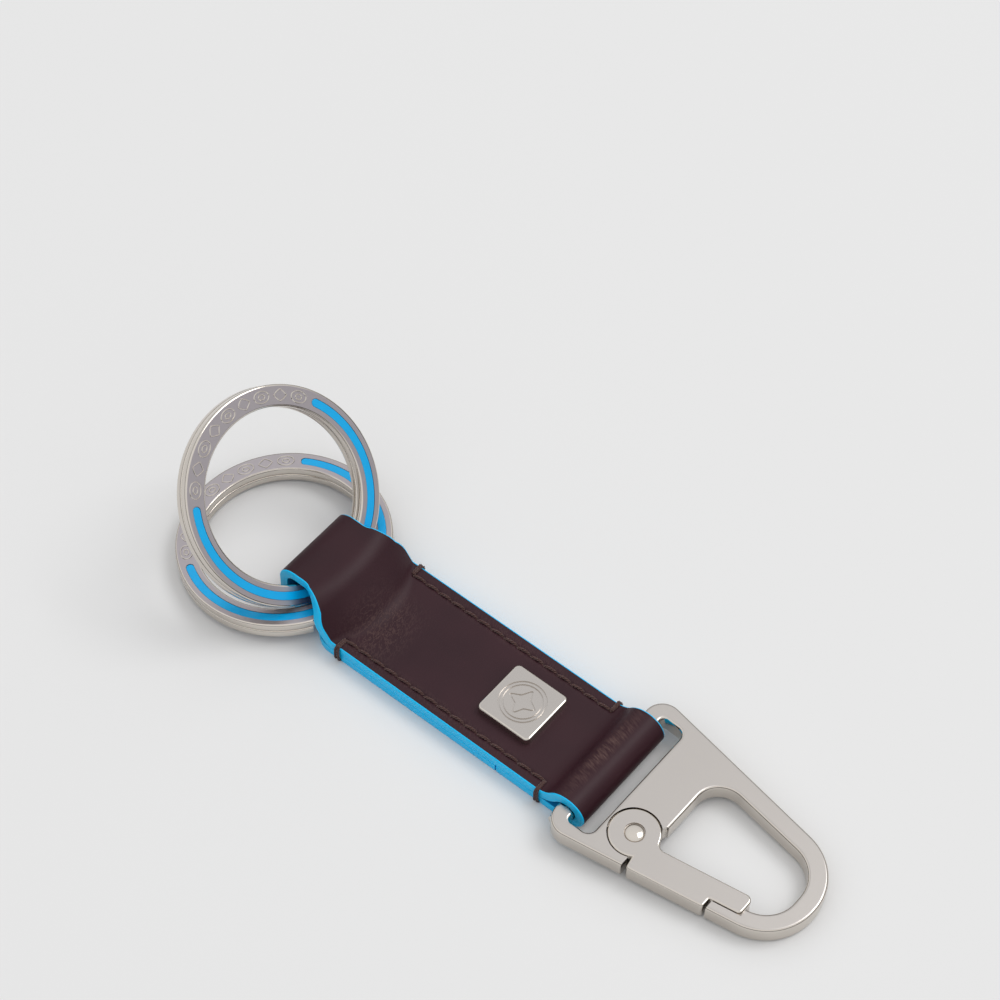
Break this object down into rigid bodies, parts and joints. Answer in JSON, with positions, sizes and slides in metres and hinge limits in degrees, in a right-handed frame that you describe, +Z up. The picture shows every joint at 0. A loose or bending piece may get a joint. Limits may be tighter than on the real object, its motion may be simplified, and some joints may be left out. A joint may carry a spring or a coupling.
{
  "type": "split key ring fob",
  "caption": "Folded leather key strap carrying split key rings at one end and a swinging snap hook with a sprung gate at the other.",
  "frame": {"origin": "centre of the strap's underside, on the surface it lies on", "axes": "+X from the key rings to the snap hook, +Y across the strap, +Z up out of the badge's face"},
  "size_m": [0.1224, 0.035, 0.0288],
  "materials": {
    "leather": "smooth dark brown leather with painted blue edges",
    "lining": "matt blue lining leather",
    "thread": "dark brown bonded thread",
    "badge": "brushed nickel plate",
    "ring_nickel": "satin nickel plate with polished walls",
    "nickel": "polished nickel plate",
    "enamel": "glossy blue enamel",
    "spring_steel": "drawn spring wire"
  },
  "bodies": {
    "strap": {"strap_leather": "leather", "strap_lining": "lining", "needle_thread_near": "thread", "bobbin_thread_near": "thread", "needle_thread_far": "thread", "bobbin_thread_far": "thread", "badge_plate": "badge", "badge_washer": "nickel"},
    "lower_ring": {"lower_ring": "ring_nickel", "lower_ring_enamel_near": "enamel", "lower_ring_enamel_far": "enamel"},
    "upper_ring": {"upper_ring": "ring_nickel", "upper_ring_enamel_near": "enamel", "upper_ring_enamel_far": "enamel"},
    "hook": {"hook_body": "nickel", "gate_rivet": "nickel", "gate_spring": "spring_steel"},
    "gate": {"hook_gate": "nickel"}
  },
  "joints": [
    {"name": "lower_ring_spin", "type": "hinge", "parent": "strap", "child": "lower_ring", "pos_m": [-0.0389, 0, 0.00408], "axis": [-0.0576, 0, 0.9983], "continuous": true},
    {"name": "upper_ring_swing", "type": "hinge", "parent": "strap", "child": "upper_ring", "pos_m": [-0.029, 0, 0.006], "axis": [0, 1, 0], "range_deg": [0, 52]},
    {"name": "hook_swing", "type": "hinge", "parent": "strap", "child": "hook", "pos_m": [0.0273, 0, 0.0032], "axis": [0, -1, 0], "range_deg": [-95, 150]},
    {"name": "gate_pivot", "type": "hinge", "parent": "hook", "child": "gate", "pos_m": [0.03774, -0.0069, 0.00279], "axis": [0.0395, 0, 0.9992], "range_deg": [0, 32], "stiffness_Nm_per_rad": 0.01, "springref_deg": -20.05, "deforming": ["gate_spring"]}
  ]
}
